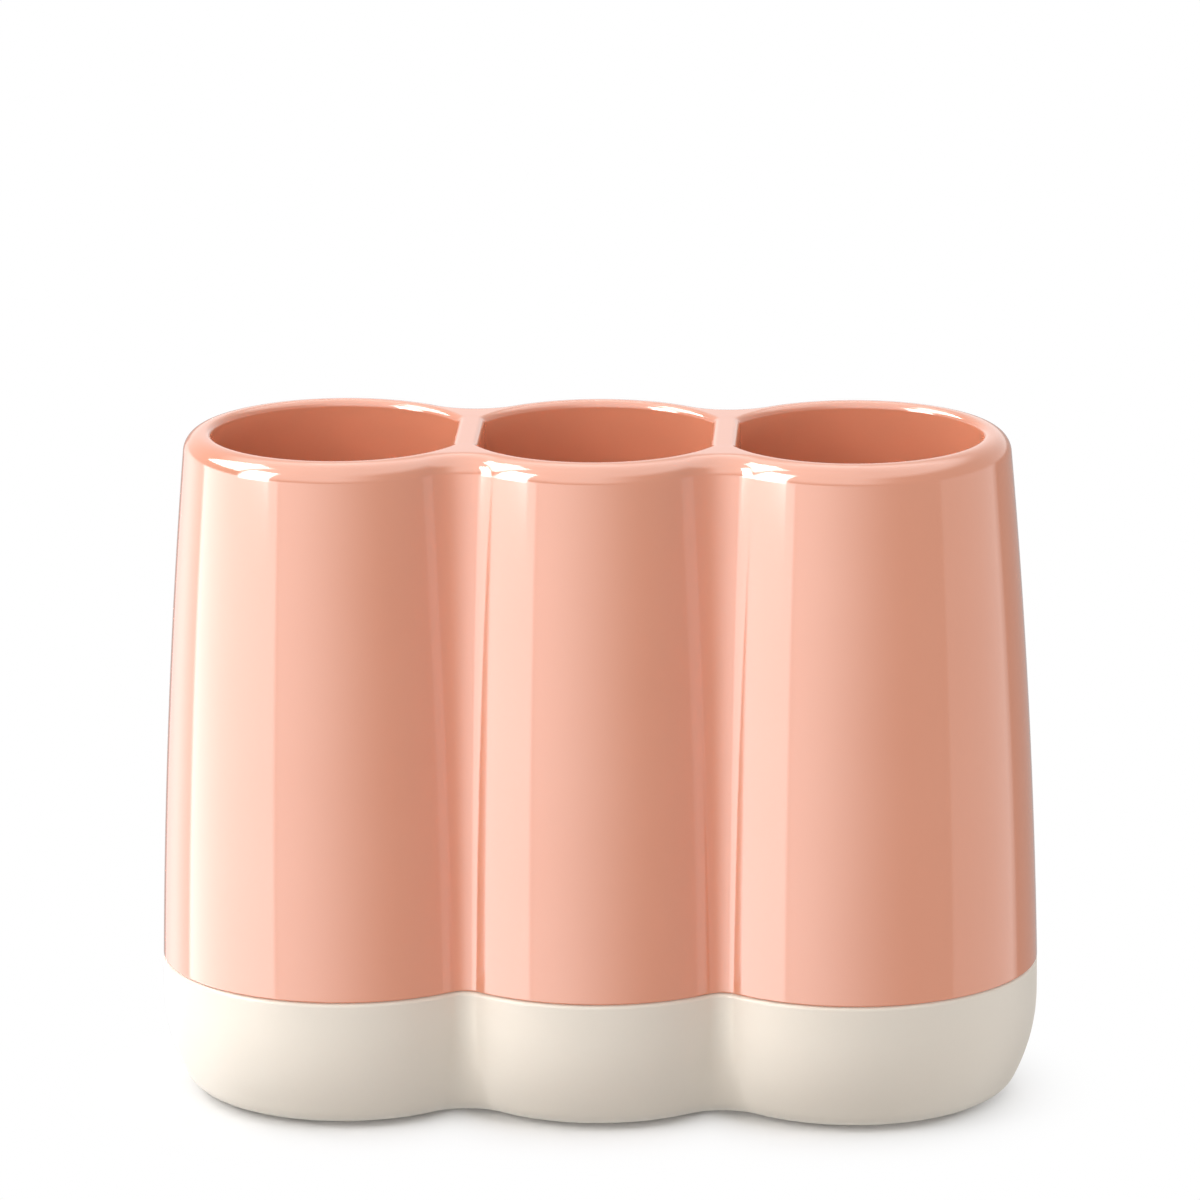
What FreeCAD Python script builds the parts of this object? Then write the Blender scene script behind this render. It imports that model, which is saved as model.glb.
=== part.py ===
import FreeCAD
import Part
import Sketcher

import math
import os

# Toothbrush holder with three compartments, in millimetres.
# Origin: middle of the footprint on the standing surface. +Z is up and the front faces -Y.

doc = FreeCAD.newDocument("toothbrush_holder")

# Driving dimensions
sizes = {
    "compartment_radius": 20.0,  # round wall of one compartment
    "divider_cut": 2.1,          # how far a divider's flat face cuts into that round
    "divider": 4.2,              # wall to wall between two compartments
    "corner_radius": 2.5,        # upright corner between flat and round
    "rim_width": 4.5,            # compartment wall to the widest part of the rim
    "rim_radius": 3.2,           # outer rounding of the rim
    "lip_radius": 1.1,           # inner rounding of the rim
    "rim_depth": 9.0,            # solid depth of the rim
    "wall_flare": 4.5,           # how much wider the holder is at the seam than at the rim
    "wall_bow": 1200.0,          # radius of the outer wall's slight curve from seam to rim
    "valley_radius": 3.2,        # rounding between two lobes at the seam
    "skin_wall": 2.4,            # outer skin of the sleeve
    "tube_wall": 1.6,            # wall of a compartment tube
    "sleeve_height": 84.5,       # seam to rim
    "sleeve_edge": 0.35,         # rounding of the sleeve's lower edge
    "socket_depth": 9.5,         # straight lower part of the sleeve that takes the spigot
    "base_height": 21.2,         # underside to seam
    "base_edge_height": 16.0,    # underside to where the base's lower edge starts to round
    "base_side_radius": 30.0,    # upper, slow part of that rounding
    "base_corner_radius": 4.5,   # lower, quick part of that rounding
    "shoulder_edge": 0.8,        # rounding of the base's upper edge
    "base_floor": 3.0,           # thickness of the base around the drip well's floor
    "well_edge": 5.0,            # rounding between the drip well's floor and wall
    "well_sump": 0.5,            # lower middle of the drip well's floor
    "underside_relief": 0.4,     # raised middle of the underside
    "spigot_height": 8.0,        # seam to the spigot's top
    "spigot_wall": 2.0,
    "spigot_lead": 0.6,          # chamfer that leads the sleeve on
    "spigot_clearance": 0.25,    # spigot to socket
    "seal_height": 2.4,
    "seal_thickness": 1.3,
    "seal_lift": 2.5,            # seam to the lower side of the seal
    "seal_edge": 0.4,            # rounding of the seal's edges
    "seal_clearance": 0.1,       # seal to socket
    "groove_clearance": 0.1,     # seal to its groove
    "drip_depth": 6.5,           # drip well's floor to the drain floor
    "plate_thickness": 2.0,
    "plug_height": 3.0,          # part of the drain floor inside each tube
    "plug_clearance": 0.15,      # plug to tube
    "plug_lead": 0.5,            # chamfer that leads a plug into its tube
    "slot_length": 22.0,
    "slot_width": 3.0,
    "slot_step": 7.5,            # between two slots
    "foot_radius": 6.0,
    "foot_recess": 1.2,          # part of a foot inside the base
    "foot_proud": 0.5,           # part of a foot below the base
    "foot_edge": 0.3,            # rounding of a foot's lower edge
    "foot_clearance": 0.1,       # foot to its recess
    "foot_reach_x": 2.5,         # outwards from the end lobes' centres
    "foot_reach_y": 10.5,        # from the middle to the front and to the back
}

sheet = doc.addObject("Spreadsheet::Sheet", "Sizes")
for row, (alias, value) in enumerate(sizes.items(), start=1):
    sheet.set(f"A{row}", alias)
    sheet.set(f"B{row}", str(value))
    sheet.setAlias(f"B{row}", alias)
doc.recompute()

# Lobe radii, measured from a lobe's own centre
flat_reach = "(Sizes.compartment_radius - Sizes.divider_cut)"
lobe_pitch = f"(2 * {flat_reach} + Sizes.divider)"
tube_radius = "(Sizes.compartment_radius + Sizes.tube_wall)"
rim_inner_radius = "(Sizes.compartment_radius - Sizes.corner_radius)"
rim_outer_radius = "(Sizes.compartment_radius + Sizes.rim_width)"
rim_rounding = "min(Sizes.rim_radius; Sizes.rim_width - Sizes.lip_radius)"
seam_radius = f"({rim_outer_radius} + Sizes.wall_flare)"
socket_radius = f"({seam_radius} - Sizes.skin_wall)"
spigot_radius = f"({socket_radius} - Sizes.spigot_clearance)"
well_radius = f"({spigot_radius} - Sizes.spigot_wall)"
well_floor_radius = f"({well_radius} - Sizes.well_edge)"
base_inner_radius = f"({well_floor_radius} - Sizes.well_edge)"
seal_radius = f"({socket_radius} - Sizes.seal_clearance)"
seal_inner_radius = f"({seal_radius} - Sizes.seal_thickness)"
groove_radius = f"({seal_inner_radius} - Sizes.groove_clearance)"

# Heights above the standing surface
underside_z = "Sizes.foot_proud"
seam_z = f"({underside_z} + Sizes.base_height)"
rim_z = f"({seam_z} + Sizes.sleeve_height)"
cavity_z = f"({rim_z} - Sizes.rim_depth)"
well_z = f"({underside_z} + Sizes.base_floor)"
plate_z = f"({well_z} + Sizes.drip_depth)"
tube_end_z = f"({plate_z} + Sizes.plate_thickness)"
plug_z = f"({tube_end_z} + Sizes.plug_height)"
spigot_z = f"({seam_z} + Sizes.spigot_height)"
socket_z = f"({seam_z} + Sizes.socket_depth)"
seal_z = f"({seam_z} + Sizes.seal_lift)"
groove_z = f"({seal_z} + Sizes.seal_height + Sizes.groove_clearance)"

foot_x = f"({lobe_pitch} + Sizes.foot_reach_x)"
compartments = (-1, 0, 1)  # left, middle and right
slot_rows = (-1, 0, 1)     # drain slots of one compartment
nearby = 1e-4              # two places are the same within this

# Points of a sketch's curve, and the sketch's own X axis, which starts at its origin
START, END, CENTRE = range(1, 4)
ORIGIN = (-1, START)
X_AXIS = ORIGIN[0]
QUARTER, HALF, FULL = math.pi / 2, math.pi, 2 * math.pi


def number(text):
    """Present value of an expression, as the first guess of a sketch."""
    return float(sheet.evalExpression(text))


def end_x(radius):
    """Place on the X axis of the right lobe's outermost point at a lobe radius."""
    return f"({lobe_pitch} + {radius})"


def new_body(label):
    body = doc.addObject("PartDesign::Body", label)
    body.Label = label
    return body


def new_sketch(body, name, role, height=None):
    """Sketch on one of the body's own planes, raised to a height if one is given."""
    plane = next(item for item in body.Origin.OriginFeatures if item.Role == role)
    sketch = body.newObject("Sketcher::SketchObject", f"{body.Label}_{name}")
    sketch.AttachmentSupport = [(plane, "")]
    sketch.MapMode = "FlatFace"
    if height:
        sketch.setExpression("AttachmentOffset.Base.z", height)
    return sketch


def drive(sketch, constraint, name, text):
    """Add a dimension to a sketch and bind it to the sheet."""
    index = sketch.addConstraint(constraint)
    sketch.renameConstraint(index, name)
    sketch.setExpression(f"Constraints.{name}", text)


def pin(sketch, curve, point, name, x_text=None, y_text=None):
    """Hold a point of a curve at a distance from one or both axes."""
    if x_text:
        rule = Sketcher.Constraint("DistanceX", *ORIGIN, curve, point, number(x_text))
        drive(sketch, rule, f"{name}_x", x_text)
    if y_text:
        rule = Sketcher.Constraint("DistanceY", *ORIGIN, curve, point, number(y_text))
        drive(sketch, rule, f"{name}_y", y_text)


def add_line(sketch, start, end):
    line = Part.LineSegment(FreeCAD.Vector(*start, 0), FreeCAD.Vector(*end, 0))
    return sketch.addGeometry(line, False)


def add_circle(sketch, centre, radius):
    circle = Part.Circle(FreeCAD.Vector(*centre, 0), FreeCAD.Vector(0, 0, 1), radius)
    return sketch.addGeometry(circle, False)


def add_arc(sketch, centre, radius, start, end):
    circle = Part.Circle(FreeCAD.Vector(*centre, 0), FreeCAD.Vector(0, 0, 1), radius)
    return sketch.addGeometry(Part.ArcOfCircle(circle, start, end), False)


def set_radius(sketch, curve, name, text):
    drive(sketch, Sketcher.Constraint("Radius", curve, number(text)), name, text)


def equal_radii(sketch, curves, name, text):
    """Drive the first curve's radius and set the others equal to it."""
    set_radius(sketch, curves[0], name, text)
    for curve in curves[1:]:
        sketch.addConstraint(Sketcher.Constraint("Equal", curves[0], curve))


def join_smoothly(sketch, joins):
    """Join curve ends, given as (curve, end, curve, end), with no corner between them."""
    for join in joins:
        sketch.addConstraint(Sketcher.Constraint("Tangent", *join))


def centre_on_axis(sketch, curve, name, place):
    """Hold a curve's centre at the centre of the left, middle or right lobe."""
    if place == 0:
        sketch.addConstraint(Sketcher.Constraint("Coincident", curve, CENTRE, *ORIGIN))
    else:
        sketch.addConstraint(Sketcher.Constraint("PointOnObject", curve, CENTRE, X_AXIS))
        pin(sketch, curve, CENTRE, name, x_text=f"{place} * {lobe_pitch}")


def lobed_outline(sketch, radius, tag=""):
    """Closed outline of three round lobes; all such outlines lie at an even distance from each other."""
    valley = f"(Sizes.valley_radius + {seam_radius} - {radius})"
    lobe_r, valley_r, pitch = number(radius), number(valley), number(lobe_pitch)
    lean = math.acos(pitch / 2 / (lobe_r + valley_r))
    valley_x, valley_y = pitch / 2, (lobe_r + valley_r) * math.sin(lean)
    right_back = add_arc(sketch, (pitch, 0), lobe_r, 0, HALF - lean)
    right_front = add_arc(sketch, (pitch, 0), lobe_r, HALF + lean, FULL)
    middle_back = add_arc(sketch, (0, 0), lobe_r, lean, HALF - lean)
    middle_front = add_arc(sketch, (0, 0), lobe_r, HALF + lean, FULL - lean)
    left_back = add_arc(sketch, (-pitch, 0), lobe_r, lean, HALF)
    left_front = add_arc(sketch, (-pitch, 0), lobe_r, HALF, FULL - lean)
    back_right = add_arc(sketch, (valley_x, valley_y), valley_r, HALF + lean, FULL - lean)
    back_left = add_arc(sketch, (-valley_x, valley_y), valley_r, HALF + lean, FULL - lean)
    front_right = add_arc(sketch, (valley_x, -valley_y), valley_r, lean, HALF - lean)
    front_left = add_arc(sketch, (-valley_x, -valley_y), valley_r, lean, HALF - lean)

    lobes = {
        "right_back": (right_back, 1), "right_front": (right_front, 1),
        "middle_back": (middle_back, 0), "middle_front": (middle_front, 0),
        "left_back": (left_back, -1), "left_front": (left_front, -1),
    }
    for name, (lobe, place) in lobes.items():
        centre_on_axis(sketch, lobe, name + tag, place)
    equal_radii(sketch, [lobe for lobe, place in lobes.values()], "lobe" + tag, radius)
    equal_radii(sketch, [back_right, back_left, front_right, front_left], "valley" + tag, valley)
    join_smoothly(sketch, [
        (right_back, END, back_right, END), (back_right, START, middle_back, START),
        (middle_back, END, back_left, END), (back_left, START, left_back, START),
        (left_front, END, front_left, END), (front_left, START, middle_front, START),
        (middle_front, END, front_right, END), (front_right, START, right_front, START),
    ])
    on_axis = ((right_back, START), (right_front, END), (left_back, END), (left_front, START))
    for lobe, end in on_axis:
        sketch.addConstraint(Sketcher.Constraint("PointOnObject", lobe, end, X_AXIS))


def lobed_sketch(body, name, height, *radii):
    """Sketch of one lobed outline, or of two that bound a ring."""
    sketch = new_sketch(body, name, "XY_Plane", height)
    for index, radius in enumerate(radii):
        lobed_outline(sketch, radius, f"_{index}")
    return sketch


def compartment_outline(sketch, place, offset):
    """Outline of one compartment: a round cut flat towards each neighbour, grown by an offset."""
    radius = f"(Sizes.compartment_radius + {offset})"
    corner = f"(Sizes.corner_radius + {offset})"
    reach = f"({flat_reach} + {offset})"
    round_r, corner_r, flat_x = number(radius), number(corner), number(reach)
    middle_x = place * number(lobe_pitch)
    lean = math.acos((flat_x - corner_r) / (round_r - corner_r))
    corner_y = (round_r - corner_r) * math.sin(lean)
    if place == 0:
        back = add_arc(sketch, (middle_x, 0), round_r, lean, HALF - lean)
        front = add_arc(sketch, (middle_x, 0), round_r, HALF + lean, FULL - lean)
        rounds, flats = [back, front], ((1, front, back), (-1, back, front))
    else:
        turn = HALF if place > 0 else 0
        whole = add_arc(sketch, (middle_x, 0), round_r, turn + lean, turn + FULL - lean)
        rounds, flats = [whole], ((-place, whole, whole),)

    corners = []
    for side, before, after in flats:
        turn = 0 if side > 0 else HALF
        flat_at = middle_x + side * flat_x
        centre_x = flat_at - side * corner_r
        flat = add_line(sketch, (flat_at, -side * corner_y), (flat_at, side * corner_y))
        first = add_arc(sketch, (centre_x, -side * corner_y), corner_r, turn - lean, turn)
        last = add_arc(sketch, (centre_x, side * corner_y), corner_r, turn, turn + lean)
        sketch.addConstraint(Sketcher.Constraint("Vertical", flat))
        flat_place = f"{place} * {lobe_pitch} + {side} * {reach}"
        pin(sketch, flat, START, f"flat_{place + 1}_{side + 1}", x_text=flat_place)
        join_smoothly(sketch, [(before, END, first, START), (first, END, flat, START),
                               (flat, END, last, START), (last, END, after, START)])
        corners += [first, last]
    for index, curve in enumerate(rounds):
        centre_on_axis(sketch, curve, f"centre_{place + 1}_{index}", place)
    equal_radii(sketch, rounds, f"round_{place + 1}", radius)
    equal_radii(sketch, corners, f"corner_{place + 1}", corner)


def compartment_sketch(body, name, height, offset):
    sketch = new_sketch(body, name, "XY_Plane", height)
    for place in compartments:
        compartment_outline(sketch, place, offset)
    return sketch


def arc_between(sketch, start, end, radius, turn):
    """Short arc from start to end, turning left (1) or right (-1), with its entry and its exit."""
    middle = [(a + b) / 2 for a, b in zip(start, end)]
    run = [b - a for a, b in zip(start, end)]
    chord = math.hypot(*run)
    rise = turn * math.sqrt(radius ** 2 - (chord / 2) ** 2) / chord
    centre = (middle[0] - run[1] * rise, middle[1] + run[0] * rise)
    angles = [math.atan2(point[1] - centre[1], point[0] - centre[0]) for point in (start, end)]
    if turn > 0:
        return add_arc(sketch, centre, radius, *angles), START, END
    return add_arc(sketch, centre, radius, *reversed(angles)), END, START


def bow_centre_for(through, bow, held, held_radius):
    """Centre of a bow through a point, left of it, that holds a smaller circle and touches it inside."""
    gap = math.dist(through, held)
    along = (bow ** 2 - (bow - held_radius) ** 2 + gap ** 2) / (2 * gap)
    away = math.sqrt(bow ** 2 - along ** 2)
    ahead = [(b - a) / gap for a, b in zip(through, held)]
    return through[0] + ahead[0] * along - ahead[1] * away, through[1] + ahead[1] * along + ahead[0] * away


class Section:
    """Closed section of a wall in the XZ plane, drawn step by step with the material on the left."""

    def __init__(self, body, name):
        self.sketch = new_sketch(body, name, "XZ_Plane")
        self.steps = []

    def place(self, x_text, z_text):
        return number(x_text), number(z_text)

    def add(self, curve, entry=START, leave=END, smooth=False):
        """Take a curve into the outline; smooth means that it follows the step before without a corner."""
        if self.steps:
            rule = "Tangent" if smooth else "Coincident"
            self.sketch.addConstraint(Sketcher.Constraint(rule, *self.steps[-1], curve, entry))
        else:
            self.first = (curve, entry)
        self.steps.append((curve, leave))
        return curve

    def lines(self, points, smooth=False):
        """Straight steps through points that are given as a pair of expressions each."""
        for start, end in zip(points, points[1:]):
            line = add_line(self.sketch, self.place(*start), self.place(*end))
            self.add(line, smooth=smooth)
            pin(self.sketch, line, START, f"step_{len(self.steps)}", *start)
            smooth = False

    def rounding(self, start, end, radius, turn):
        """Quarter round between two points."""
        curve, entry, leave = arc_between(
            self.sketch, self.place(*start), self.place(*end), number(radius), turn)
        self.add(curve, entry, leave)
        pin(self.sketch, curve, entry, f"step_{len(self.steps)}", *start)
        set_radius(self.sketch, curve, f"radius_{len(self.steps)}", radius)

    def close(self):
        self.sketch.addConstraint(Sketcher.Constraint("Coincident", *self.steps[-1], *self.first))
        return self.sketch


def sweep(body, name, section):
    """Carry a section once around the holder."""
    path = lobed_sketch(body, f"{name}_path", seam_z, seam_radius)
    feature = body.newObject("PartDesign::AdditivePipe", f"{body.Label}_{name}")
    feature.Profile = section
    feature.Spine = path
    doc.recompute()
    return feature


def extrude(body, kind, name, sketch, length, reverse=False):
    """Pad a sketch upwards or pocket it downwards by a length, or the other way round."""
    feature = body.newObject(f"PartDesign::{kind}", f"{body.Label}_{name}")
    feature.Profile = sketch
    feature.setExpression("Length", length)
    feature.Reversed = reverse
    doc.recompute()
    return feature


def level_edges(feature, height, inside=None):
    """Names of the level edges at a height, all of them or those within a reach of a lobe's centre."""
    level, pitch = number(height), number(lobe_pitch)
    names = []
    for index, edge in enumerate(feature.Shape.Edges, start=1):
        first, last = edge.ParameterRange
        points = [edge.valueAt(first), edge.valueAt((first + last) / 2), edge.valueAt(last)]
        if any(abs(point.z - level) > nearby for point in points):
            continue
        reach = max(min(math.hypot(point.x - place * pitch, point.y) for place in compartments)
                    for point in points)
        if inside is None or reach < number(inside) + nearby:
            names.append(f"Edge{index}")
    return names


def dress(body, kind, name, base, edges, field, amount):
    """Round or chamfer some edges of the feature before it."""
    feature = body.newObject(f"PartDesign::{kind}", f"{body.Label}_{name}")
    feature.Base = (base, edges)
    feature.setExpression(field, amount)
    doc.recompute()
    return feature


def sleeve_section(body):
    """Outer skin of the sleeve, its socket for the spigot and its rounded rim."""
    section = Section(body, "section")
    sketch = section.sketch
    outer_x, socket_x, inner_x = end_x(seam_radius), end_x(socket_radius), end_x(rim_inner_radius)
    edge_start = (f"{outer_x} - Sizes.sleeve_edge", seam_z)
    wall_start = (outer_x, f"{seam_z} + Sizes.sleeve_edge")
    rim_top = (f"{end_x(rim_outer_radius)} - {rim_rounding}", rim_z)
    inside_bow = "(Sizes.wall_bow - Sizes.skin_wall)"

    section.rounding(edge_start, wall_start, "Sizes.sleeve_edge", 1)
    start, crest = section.place(*wall_start), section.place(*rim_top)
    bow, rim_r, inside_r = number("Sizes.wall_bow"), number(rim_rounding), number(inside_bow)
    rim_centre = (crest[0], crest[1] - rim_r)
    bow_centre = bow_centre_for(start, bow, rim_centre, rim_r)
    rising = math.atan2(start[1] - bow_centre[1], start[0] - bow_centre[0])
    meeting = math.atan2(rim_centre[1] - bow_centre[1], rim_centre[0] - bow_centre[0])
    wall = section.add(add_arc(sketch, bow_centre, bow, rising, meeting))
    pin(sketch, wall, START, "wall", *wall_start)
    set_radius(sketch, wall, "bow", "Sizes.wall_bow")
    rim = section.add(add_arc(sketch, rim_centre, rim_r, meeting, QUARTER), smooth=True)
    set_radius(sketch, rim, "rim", rim_rounding)

    section.lines([rim_top, (inner_x, rim_z), (inner_x, cavity_z)], smooth=True)
    low, high = [math.asin((number(height) - bow_centre[1]) / inside_r) for height in (socket_z, cavity_z)]
    high_end = (bow_centre[0] + inside_r * math.cos(high), number(cavity_z))
    low_end = (bow_centre[0] + inside_r * math.cos(low), number(socket_z))
    ceiling = section.add(add_line(sketch, section.place(inner_x, cavity_z), high_end))
    pin(sketch, ceiling, START, "ceiling", inner_x, cavity_z)
    inside = section.add(add_arc(sketch, bow_centre, inside_r, low, high), END, START)
    sketch.addConstraint(Sketcher.Constraint("Coincident", inside, CENTRE, wall, CENTRE))
    set_radius(sketch, inside, "inside", inside_bow)
    pin(sketch, inside, END, "inside_top", y_text=cavity_z)
    pin(sketch, inside, START, "inside_end", y_text=socket_z)
    section.add(add_line(sketch, low_end, section.place(socket_x, socket_z)))
    section.lines([(socket_x, socket_z), (socket_x, seam_z), edge_start])
    return section.close()


def make_upper_sleeve():
    body = new_body("upper_sleeve")
    sweep(body, "skin", sleeve_section(body))
    plate = lobed_sketch(body, "rim_plate_outline", cavity_z, tube_radius)
    extrude(body, "Pad", "rim_plate", plate, "Sizes.rim_depth")
    tubes = compartment_sketch(body, "tube_outline", tube_end_z, "Sizes.tube_wall")
    extrude(body, "Pad", "tubes", tubes, f"{cavity_z} - {tube_end_z} + Sizes.tube_wall")
    mouths = compartment_sketch(body, "mouth_outline", rim_z, "0")
    mouth = extrude(body, "Pocket", "mouths", mouths, f"{rim_z} - {plate_z}")
    lips = level_edges(mouth, rim_z, inside="Sizes.compartment_radius")
    dress(body, "Fillet", "lips", mouth, lips, "Radius", "Sizes.lip_radius")
    return body


def base_section(body):
    """Rounded wall of the base with its spigot, the seal's groove and the edge of the drip well."""
    section = Section(body, "section")
    sketch = section.sketch
    outer_x, spigot_x, groove_x = end_x(seam_radius), end_x(spigot_radius), end_x(groove_radius)
    well_x, inner_x = end_x(well_radius), end_x(base_inner_radius)
    under_start = (inner_x, underside_z)
    side_top = (outer_x, f"{underside_z} + Sizes.base_edge_height")

    start, top = section.place(*under_start), section.place(*side_top)
    side_r, corner_r = number("Sizes.base_side_radius"), number("Sizes.base_corner_radius")
    side_centre = (top[0] - side_r, top[1])
    corner_z = start[1] + corner_r
    corner_x = side_centre[0] + math.sqrt((side_r - corner_r) ** 2 - (side_centre[1] - corner_z) ** 2)
    meeting = math.atan2(corner_z - side_centre[1], corner_x - side_centre[0])
    under = section.add(add_line(sketch, start, (corner_x, start[1])))
    pin(sketch, under, START, "under", *under_start)
    sketch.addConstraint(Sketcher.Constraint("Horizontal", under))
    corner = section.add(add_arc(sketch, (corner_x, corner_z), corner_r, -QUARTER, meeting), smooth=True)
    set_radius(sketch, corner, "corner", "Sizes.base_corner_radius")
    side = section.add(add_arc(sketch, side_centre, side_r, meeting, 0), smooth=True)
    set_radius(sketch, side, "side", "Sizes.base_side_radius")

    shoulder_start = (outer_x, f"{seam_z} - Sizes.shoulder_edge")
    shoulder_end = (f"{outer_x} - Sizes.shoulder_edge", seam_z)
    section.lines([side_top, shoulder_start], smooth=True)
    section.rounding(shoulder_start, shoulder_end, "Sizes.shoulder_edge", 1)
    well_start = (well_x, f"{well_z} + Sizes.well_edge")
    well_end = (f"{well_x} - Sizes.well_edge", well_z)
    section.lines([
        shoulder_end, (spigot_x, seam_z), (spigot_x, seal_z), (groove_x, seal_z), (groove_x, groove_z),
        (spigot_x, groove_z), (spigot_x, f"{spigot_z} - Sizes.spigot_lead"),
        (f"{spigot_x} - Sizes.spigot_lead", spigot_z), (well_x, spigot_z), well_start,
    ])
    section.rounding(well_start, well_end, "Sizes.well_edge", -1)
    section.lines([well_end, (inner_x, well_z), under_start])
    return section.close()


def make_base_cup():
    body = new_body("base_cup")
    sweep(body, "wall", base_section(body))
    floor = lobed_sketch(body, "floor_outline", f"{underside_z} + Sizes.underside_relief", well_floor_radius)
    extrude(body, "Pad", "floor", floor, "Sizes.base_floor - Sizes.underside_relief - Sizes.well_sump")
    recesses = new_sketch(body, "recess_outline", "XY_Plane", underside_z)
    radius = "Sizes.foot_radius + Sizes.foot_clearance"
    circles = []
    for side_x in (-1, 1):
        for side_y in (-1, 1):
            across, along = f"{side_x} * {foot_x}", f"{side_y} * Sizes.foot_reach_y"
            circles.append(add_circle(recesses, (number(across), number(along)), number(radius)))
            pin(recesses, circles[-1], CENTRE, f"recess_{len(circles)}", across, along)
    equal_radii(recesses, circles, "recess", radius)
    extrude(body, "Pocket", "recesses", recesses, "Sizes.foot_recess", reverse=True)
    return body


def make_base_seal():
    body = new_body("base_seal")
    outline = lobed_sketch(body, "outline", seal_z, seal_radius, seal_inner_radius)
    ring = extrude(body, "Pad", "ring", outline, "Sizes.seal_height")
    edges = level_edges(ring, seal_z) + level_edges(ring, f"{seal_z} + Sizes.seal_height")
    dress(body, "Fillet", "edges", ring, edges, "Radius", "Sizes.seal_edge")
    return body


def slot_outline(sketch, row):
    """Slot with round ends along X, in one row of the left compartment."""
    left_x = f"(0 - {lobe_pitch})"
    half_run = "(Sizes.slot_length - Sizes.slot_width) / 2"
    end_radius = "Sizes.slot_width / 2"
    row_y = f"{row} * Sizes.slot_step"
    x, y, run, end_r = number(left_x), number(row_y), number(half_run), number(end_radius)
    left = add_arc(sketch, (x - run, y), end_r, QUARTER, HALF + QUARTER)
    right = add_arc(sketch, (x + run, y), end_r, -QUARTER, QUARTER)
    back = add_line(sketch, (x + run, y + end_r), (x - run, y + end_r))
    front = add_line(sketch, (x - run, y - end_r), (x + run, y - end_r))
    join_smoothly(sketch, [(right, END, back, START), (back, END, left, START),
                           (left, END, front, START), (front, END, right, START)])
    set_radius(sketch, left, f"slot_end_{row + 1}", end_radius)
    pin(sketch, left, CENTRE, f"slot_left_{row + 1}", x_text=f"{left_x} - {half_run}")
    pin(sketch, right, CENTRE, f"slot_right_{row + 1}", x_text=f"{left_x} + {half_run}")
    if row == 0:
        sketch.addConstraint(Sketcher.Constraint("PointOnObject", left, CENTRE, X_AXIS))
    else:
        pin(sketch, left, CENTRE, f"slot_row_{row + 1}", y_text=row_y)
    for line in (back, front):
        sketch.addConstraint(Sketcher.Constraint("Horizontal", line))


def make_drain_floor():
    body = new_body("drain_floor")
    plate = lobed_sketch(body, "plate_outline", plate_z, tube_radius)
    extrude(body, "Pad", "plate", plate, "Sizes.plate_thickness")
    plug_outlines = compartment_sketch(body, "plug_outline", tube_end_z, "(0 - Sizes.plug_clearance)")
    plugs = extrude(body, "Pad", "plugs", plug_outlines, "Sizes.plug_height")
    dress(body, "Chamfer", "leads", plugs, level_edges(plugs, plug_z), "Size", "Sizes.plug_lead")
    slot_outlines = new_sketch(body, "slot_outline", "XY_Plane", plug_z)
    for row in slot_rows:
        slot_outline(slot_outlines, row)
    slots = extrude(body, "Pocket", "slots", slot_outlines, f"{plug_z} - {well_z}")
    pattern = body.newObject("PartDesign::LinearPattern", "drain_floor_slot_groups")
    pattern.Originals = [slots]
    pattern.Direction = (slot_outlines, ["H_Axis"])
    pattern.setExpression("Length", f"{len(compartments) - 1} * {lobe_pitch}")
    pattern.Occurrences = len(compartments)
    body.Tip = pattern
    doc.recompute()
    return body


def make_foot(label, side_x, side_y):
    body = new_body(label)
    outline = new_sketch(body, "outline", "XY_Plane")
    circle = add_circle(outline, (0, 0), number("Sizes.foot_radius"))
    outline.addConstraint(Sketcher.Constraint("Coincident", circle, CENTRE, *ORIGIN))
    set_radius(outline, circle, "foot", "Sizes.foot_radius")
    pad = extrude(body, "Pad", "pad", outline, "Sizes.foot_recess + Sizes.foot_proud")
    dress(body, "Fillet", "edge", pad, level_edges(pad, "0"), "Radius", "Sizes.foot_edge")
    body.setExpression("Placement.Base.x", f"{side_x} * {foot_x}")
    body.setExpression("Placement.Base.y", f"{side_y} * Sizes.foot_reach_y")
    return body


pieces = [make_upper_sleeve(), make_base_cup(), make_base_seal(), make_drain_floor()]
for row_name, side_y in (("front", -1), ("back", 1)):
    for end_name, side_x in (("left", -1), ("right", 1)):
        pieces.append(make_foot(f"foot_{row_name}_{end_name}", side_x, side_y))
doc.recompute()

for item in doc.Objects:
    if "Invalid" in item.State or "Error" in item.State:
        raise RuntimeError(f"{item.Label} failed: {item.State}")
for piece in pieces:
    if piece.Shape.isNull() or not piece.Shape.isValid() or len(piece.Shape.Solids) != 1:
        raise RuntimeError(f"{piece.Label} is not one sound solid")

os.makedirs("parts", exist_ok=True)
for piece in pieces:
    piece.Shape.exportStep(f"parts/{piece.Label}.step")
    box = piece.Shape.optimalBoundingBox(False)
    print(f"{piece.Label}: {piece.Shape.Volume:.1f} mm3, "
          f"{box.XLength:.2f} x {box.YLength:.2f} x {box.ZLength:.2f} mm, from z {box.ZMin:.2f}")
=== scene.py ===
import math

import bmesh
import bpy
from mathutils import Matrix, Quaternion, Vector


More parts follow.
